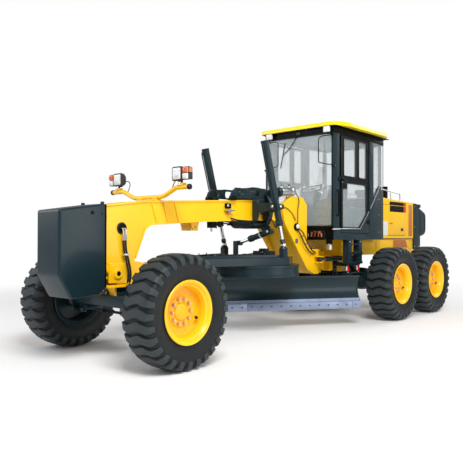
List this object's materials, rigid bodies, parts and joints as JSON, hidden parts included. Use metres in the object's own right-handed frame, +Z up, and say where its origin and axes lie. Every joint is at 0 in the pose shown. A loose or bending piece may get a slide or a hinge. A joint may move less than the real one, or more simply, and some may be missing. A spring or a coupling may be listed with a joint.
{
  "type": "motor grader",
  "caption": "Articulated motor grader with a long beam over an angled blade hung from a turning circle, a glazed cab, a hood, tandem drive wheels and steered front wheels",
  "frame": {"origin": "on the ground, under the middle of the overall box", "axes": "+Z up, -Y is the direction of travel, +X is the left side of the machine"},
  "size_m": [2.6804, 9.3, 3.56],
  "materials": {
    "yellow_paint": "gloss",
    "dark_paint": "semi-gloss",
    "tyre": "matte",
    "steel": "satin",
    "chrome": "polished",
    "glass": "clear",
    "black_plastic": "matte",
    "seat_fabric": "woven"
  },
  "bodies": {
    "rear_body": {"rear_frame": "yellow_paint", "rear_axle": "dark_paint", "tandem_case_left": "dark_paint", "tandem_case_right": "dark_paint", "engine_block": "steel", "hood": "yellow_paint", "rear_guard": "dark_paint", "cab_base": "dark_paint", "cab_frame": "dark_paint", "cab_roof": "yellow_paint", "windscreen": "glass", "rear_window": "glass", "seat": "seat_fabric", "steering_console": "black_plastic", "steps_left": "dark_paint", "steps_right": "dark_paint"},
    "front_body": {"front_frame": "yellow_paint", "counterweight": "dark_paint", "front_axle": "dark_paint", "light_bar": "yellow_paint", "saddle": "dark_paint"},
    "knuckle_left": {"knuckle_left": "dark_paint"},
    "knuckle_right": {"knuckle_right": "dark_paint"},
    "tie_rod": {"tie_rod": "steel"},
    "drawbar_ball": {"drawbar_ball": "steel"},
    "drawbar": {"drawbar": "dark_paint"},
    "circle": {"circle": "dark_paint"},
    "blade_bracket": {"blade_bracket": "dark_paint"},
    "blade": {"blade": "dark_paint"},
    "cab_door_left": {"cab_door_left": "dark_paint", "door_glass_left": "glass"},
    "cab_door_right": {"cab_door_right": "dark_paint", "door_glass_right": "glass"},
    "hood_door_left": {"hood_door_left": "yellow_paint"},
    "hood_door_right": {"hood_door_right": "yellow_paint"},
    "front_left_wheel": {"front_left_tyre": "tyre", "front_left_rim": "yellow_paint"},
    "front_right_wheel": {"front_right_tyre": "tyre", "front_right_rim": "yellow_paint"},
    "middle_left_wheel": {"middle_left_tyre": "tyre", "middle_left_rim": "yellow_paint"},
    "middle_right_wheel": {"middle_right_tyre": "tyre", "middle_right_rim": "yellow_paint"},
    "rear_left_wheel": {"rear_left_tyre": "tyre", "rear_left_rim": "yellow_paint"},
    "rear_right_wheel": {"rear_right_tyre": "tyre", "rear_right_rim": "yellow_paint"},
    "articulation_cylinder_left_barrel": {"articulation_cylinder_left_barrel": "dark_paint"},
    "articulation_cylinder_left_rod": {"articulation_cylinder_left_rod": "chrome"},
    "articulation_cylinder_right_barrel": {"articulation_cylinder_right_barrel": "dark_paint"},
    "articulation_cylinder_right_rod": {"articulation_cylinder_right_rod": "chrome"},
    "lift_cylinder_left_barrel": {"lift_cylinder_left_barrel": "dark_paint"},
    "lift_cylinder_left_rod": {"lift_cylinder_left_rod": "chrome"},
    "lift_cylinder_right_barrel": {"lift_cylinder_right_barrel": "dark_paint"},
    "lift_cylinder_right_rod": {"lift_cylinder_right_rod": "chrome"},
    "centre_shift_cylinder_barrel": {"centre_shift_cylinder_barrel": "dark_paint"},
    "centre_shift_cylinder_rod": {"centre_shift_cylinder_rod": "chrome"},
    "lift_gimbal_left": {"lift_gimbal_left": "dark_paint"},
    "lift_gimbal_right": {"lift_gimbal_right": "dark_paint"}
  },
  "joints": [
    {"name": "articulation", "type": "hinge", "parent": "rear_body", "child": "front_body", "pos_m": [0, 0.71, 1.09], "axis": [0, 0, -1], "range_deg": [-20, 20]},
    {"name": "steering_left", "type": "hinge", "parent": "front_body", "child": "knuckle_left", "pos_m": [0.8, -3.64, 0.6657], "axis": [0, 0, 1], "range_deg": [-45, 45]},
    {"name": "steering_right", "type": "hinge", "parent": "front_body", "child": "knuckle_right", "pos_m": [-0.8, -3.64, 0.6657], "axis": [0, 0, 1], "range_deg": [-45, 45]},
    {"name": "tie_rod_travel", "type": "slide", "parent": "front_body", "child": "tie_rod", "axis": [1, 0, 0], "range_m": [-0.18, 0.18]},
    {"name": "front_left_wheel_turn", "type": "hinge", "parent": "knuckle_left", "child": "front_left_wheel", "pos_m": [1.095, -3.64, 0.6657], "axis": [1, 0, 0], "continuous": true},
    {"name": "front_right_wheel_turn", "type": "hinge", "parent": "knuckle_right", "child": "front_right_wheel", "pos_m": [-1.095, -3.64, 0.6657], "axis": [1, 0, 0], "continuous": true},
    {"name": "middle_left_wheel_turn", "type": "hinge", "parent": "rear_body", "child": "middle_left_wheel", "pos_m": [1.095, 1.816, 0.6657], "axis": [1, 0, 0], "continuous": true},
    {"name": "middle_right_wheel_turn", "type": "hinge", "parent": "rear_body", "child": "middle_right_wheel", "pos_m": [-1.095, 1.816, 0.6657], "axis": [1, 0, 0], "continuous": true},
    {"name": "rear_left_wheel_turn", "type": "hinge", "parent": "rear_body", "child": "rear_left_wheel", "pos_m": [1.095, 3.356, 0.6657], "axis": [1, 0, 0], "continuous": true},
    {"name": "rear_right_wheel_turn", "type": "hinge", "parent": "rear_body", "child": "rear_right_wheel", "pos_m": [-1.095, 3.356, 0.6657], "axis": [1, 0, 0], "continuous": true},
    {"name": "drawbar_swing", "type": "hinge", "parent": "front_body", "child": "drawbar_ball", "pos_m": [0, -3.21, 1.12], "axis": [0, 0, 1], "range_deg": [-5, 5]},
    {"name": "drawbar_lift", "type": "hinge", "parent": "drawbar_ball", "child": "drawbar", "pos_m": [0, -3.21, 1.12], "axis": [-1, 0, 0], "range_deg": [-4, 13]},
    {"name": "circle_turn", "type": "hinge", "parent": "drawbar", "child": "circle", "pos_m": [0, -0.97, 1], "axis": [0, 0, 1], "continuous": true},
    {"name": "blade_tip", "type": "hinge", "parent": "circle", "child": "blade_bracket", "pos_m": [-0.35732, -0.7326, 0.64], "axis": [0.5534, 0.8329, 0], "range_deg": [-5, 35]},
    {"name": "blade_side_shift", "type": "slide", "parent": "blade_bracket", "child": "blade", "axis": [0.5534, 0.8329, 0], "range_m": [-0.5, 0.35]},
    {"name": "lift_gimbal_left_swing", "type": "hinge", "parent": "front_body", "child": "lift_gimbal_left", "pos_m": [0.62, -1.14, 1.985], "axis": [0, 1, 0], "range_deg": [-19, 19]},
    {"name": "lift_cylinder_left_pivot", "type": "hinge", "parent": "lift_gimbal_left", "child": "lift_cylinder_left_barrel", "pos_m": [0.62, -1.14, 1.985], "axis": [-1, 0, 0], "range_deg": [-3, 8.5]},
    {"name": "lift_cylinder_left_stroke", "type": "slide", "parent": "lift_cylinder_left_barrel", "child": "lift_cylinder_left_rod", "axis": [0, 0.2896, -0.9572], "range_m": [-0.156, 0.504]},
    {"name": "articulation_cylinder_left_pivot", "type": "hinge", "parent": "rear_body", "child": "articulation_cylinder_left_barrel", "pos_m": [0.4, 1.12, 1.13], "axis": [0, 0, 1], "range_deg": [-8.5, 8.5]},
    {"name": "articulation_cylinder_left_stroke", "type": "slide", "parent": "articulation_cylinder_left_barrel", "child": "articulation_cylinder_left_rod", "axis": [-0.007, -1, 0], "range_m": [-0.139, 0.139]},
    {"name": "lift_gimbal_right_swing", "type": "hinge", "parent": "front_body", "child": "lift_gimbal_right", "pos_m": [-0.62, -1.14, 1.985], "axis": [0, 1, 0], "range_deg": [-19, 19]},
    {"name": "lift_cylinder_right_pivot", "type": "hinge", "parent": "lift_gimbal_right", "child": "lift_cylinder_right_barrel", "pos_m": [-0.62, -1.14, 1.985], "axis": [-1, 0, 0], "range_deg": [-3, 8.5]},
    {"name": "lift_cylinder_right_stroke", "type": "slide", "parent": "lift_cylinder_right_barrel", "child": "lift_cylinder_right_rod", "axis": [0, 0.2896, -0.9572], "range_m": [-0.156, 0.504]},
    {"name": "articulation_cylinder_right_pivot", "type": "hinge", "parent": "rear_body", "child": "articulation_cylinder_right_barrel", "pos_m": [-0.4, 1.12, 1.13], "axis": [0, 0, 1], "range_deg": [-8.5, 8.5]},
    {"name": "articulation_cylinder_right_stroke", "type": "slide", "parent": "articulation_cylinder_right_barrel", "child": "articulation_cylinder_right_rod", "axis": [0.007, -1, 0], "range_m": [-0.139, 0.139]},
    {"name": "centre_shift_pivot", "type": "hinge", "parent": "front_body", "child": "centre_shift_cylinder_barrel", "pos_m": [0.35, -0.94, 1.61], "axis": [0, 1, 0], "range_deg": [-6, 6]},
    {"name": "centre_shift_stroke", "type": "slide", "parent": "centre_shift_cylinder_barrel", "child": "centre_shift_cylinder_rod", "axis": [-0.9598, 0, -0.2806], "range_m": [-0.18, 0.18]},
    {"name": "cab_door_left_hinge", "type": "hinge", "parent": "rear_body", "child": "cab_door_left", "pos_m": [0.74, 1.55, 2.4], "axis": [0, 0, 1], "range_deg": [0, 90]},
    {"name": "cab_door_right_hinge", "type": "hinge", "parent": "rear_body", "child": "cab_door_right", "pos_m": [-0.74, 1.55, 2.4], "axis": [0, 0, -1], "range_deg": [0, 90]},
    {"name": "hood_door_left_hinge", "type": "hinge", "parent": "rear_body", "child": "hood_door_left", "pos_m": [0.5, 2.54, 1.9], "axis": [0, 0, -1], "range_deg": [0, 100]},
    {"name": "hood_door_right_hinge", "type": "hinge", "parent": "rear_body", "child": "hood_door_right", "pos_m": [-0.5, 2.54, 1.9], "axis": [0, 0, 1], "range_deg": [0, 100]}
  ],
  "couplings": [
    {"joint": "steering_right", "follows": "steering_left", "ratio": 1},
    {"joint": "tie_rod_travel", "follows": "steering_left", "m_per_rad": -0.2251},
    {"joint": "lift_gimbal_left_swing", "follows": "drawbar_swing", "ratio": 3.65},
    {"joint": "lift_cylinder_left_pivot", "follows": "drawbar_lift", "ratio": 0.6},
    {"joint": "lift_cylinder_left_stroke", "follows": "drawbar_lift", "m_per_rad": 2.21},
    {"joint": "articulation_cylinder_left_pivot", "follows": "articulation", "ratio": -0.415},
    {"joint": "articulation_cylinder_left_stroke", "follows": "articulation", "m_per_rad": 0.394},
    {"joint": "lift_gimbal_right_swing", "follows": "drawbar_swing", "ratio": 3.65},
    {"joint": "lift_cylinder_right_pivot", "follows": "drawbar_lift", "ratio": 0.6},
    {"joint": "lift_cylinder_right_stroke", "follows": "drawbar_lift", "m_per_rad": 2.21},
    {"joint": "articulation_cylinder_right_pivot", "follows": "articulation", "ratio": -0.415},
    {"joint": "articulation_cylinder_right_stroke", "follows": "articulation", "m_per_rad": -0.394},
    {"joint": "centre_shift_pivot", "follows": "drawbar_swing", "ratio": 1.05},
    {"joint": "centre_shift_stroke", "follows": "drawbar_swing", "m_per_rad": 2.03}
  ]
}
